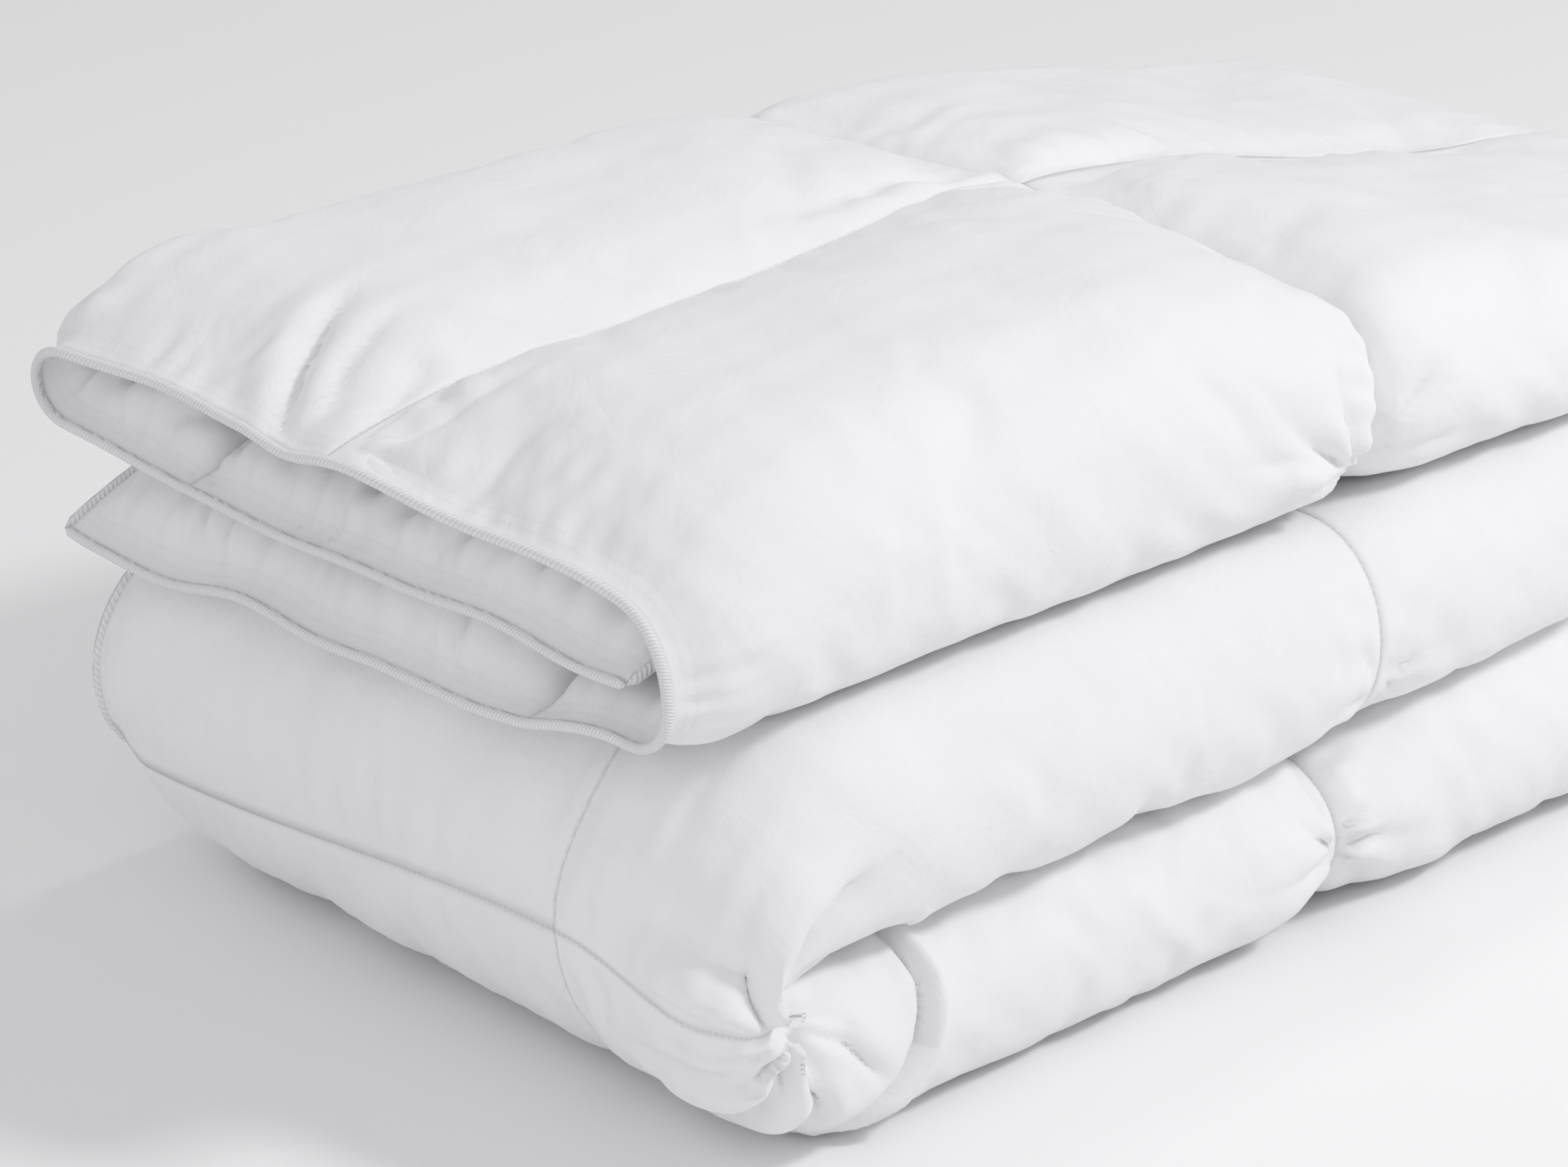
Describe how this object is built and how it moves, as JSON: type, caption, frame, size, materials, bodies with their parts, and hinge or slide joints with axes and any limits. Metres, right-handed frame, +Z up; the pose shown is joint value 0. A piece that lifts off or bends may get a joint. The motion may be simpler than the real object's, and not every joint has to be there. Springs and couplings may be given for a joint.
{
  "type": "duvet",
  "caption": "Box-quilted down duvet with a piped edge, folded into a stack of packets that open out about their creases.",
  "frame": {"origin": "centre of the footprint of the folded stack, at the level of its underside", "axes": "+Z up; +X along the stack, from the open piped end of the top packet to the far fold; -Y towards the smooth rolled side"},
  "size_m": [0.7058, 0.3884, 0.2518],
  "materials": {
    "cover_cloth": "fine, down-proof plain-weave cotton with a faint sheen",
    "filling": "loose down and small feathers, held in pockets",
    "piping": "twill tape folded over a cord, with its rib on the slant"
  },
  "bodies": {
    "bottom_packet": {"bottom_back_cloth": "cover_cloth", "bottom_end_piping": "piping", "bottom_fill_r5_c1": "filling", "bottom_fill_r5_c2": "filling", "bottom_fill_r5_c3": "filling", "bottom_fill_r5_c4": "filling", "bottom_fill_r6_c1": "filling", "bottom_fill_r6_c2": "filling", "bottom_fill_r6_c3": "filling", "bottom_fill_r6_c4": "filling", "bottom_front_cloth": "cover_cloth", "bottom_inner_edge_piping": "piping", "bottom_outer_edge_piping": "piping", "near_fold_back_cloth": "cover_cloth", "near_fold_fill_c1": "filling", "near_fold_fill_c2": "filling", "near_fold_fill_c3": "filling", "near_fold_fill_c4": "filling", "near_fold_front_cloth": "cover_cloth", "near_fold_inner_edge_piping": "piping", "near_fold_outer_edge_piping": "piping"},
    "middle_packet": {"far_fold_back_cloth": "cover_cloth", "far_fold_fill_c1": "filling", "far_fold_fill_c2": "filling", "far_fold_fill_c3": "filling", "far_fold_fill_c4": "filling", "far_fold_front_cloth": "cover_cloth", "far_fold_inner_edge_piping": "piping", "far_fold_outer_edge_piping": "piping", "middle_back_cloth": "cover_cloth", "middle_fill_r3_c1": "filling", "middle_fill_r3_c2": "filling", "middle_fill_r3_c3": "filling", "middle_fill_r3_c4": "filling", "middle_fill_r4_c1": "filling", "middle_fill_r4_c2": "filling", "middle_fill_r4_c3": "filling", "middle_fill_r4_c4": "filling", "middle_front_cloth": "cover_cloth", "middle_inner_edge_piping": "piping", "middle_outer_edge_piping": "piping"},
    "top_packet": {"top_back_cloth": "cover_cloth", "top_end_piping": "piping", "top_fill_r1_c1": "filling", "top_fill_r1_c2": "filling", "top_fill_r1_c3": "filling", "top_fill_r1_c4": "filling", "top_fill_r2_c1": "filling", "top_fill_r2_c2": "filling", "top_fill_r2_c3": "filling", "top_fill_r2_c4": "filling", "top_front_cloth": "cover_cloth", "top_inner_edge_piping": "piping", "top_outer_edge_piping": "piping"}
  },
  "joints": [
    {"name": "near_fold", "type": "hinge", "parent": "bottom_packet", "child": "middle_packet", "pos_m": [-0.26819, 0, 0.08075], "axis": [0, -1, 0], "range_deg": [0, 180], "deforming": ["near_fold_back_cloth", "near_fold_fill_c1", "near_fold_fill_c2", "near_fold_fill_c3", "near_fold_fill_c4", "near_fold_front_cloth", "near_fold_inner_edge_piping", "near_fold_outer_edge_piping"]},
    {"name": "far_fold", "type": "hinge", "parent": "middle_packet", "child": "top_packet", "pos_m": [0.27366, 0, 0.16175], "axis": [0, 1, 0], "range_deg": [0, 180], "deforming": ["far_fold_back_cloth", "far_fold_fill_c1", "far_fold_fill_c2", "far_fold_fill_c3", "far_fold_fill_c4", "far_fold_front_cloth", "far_fold_inner_edge_piping", "far_fold_outer_edge_piping"]}
  ],
  "couplings": [
    {"joint": "far_fold", "follows": "near_fold", "ratio": 1}
  ]
}
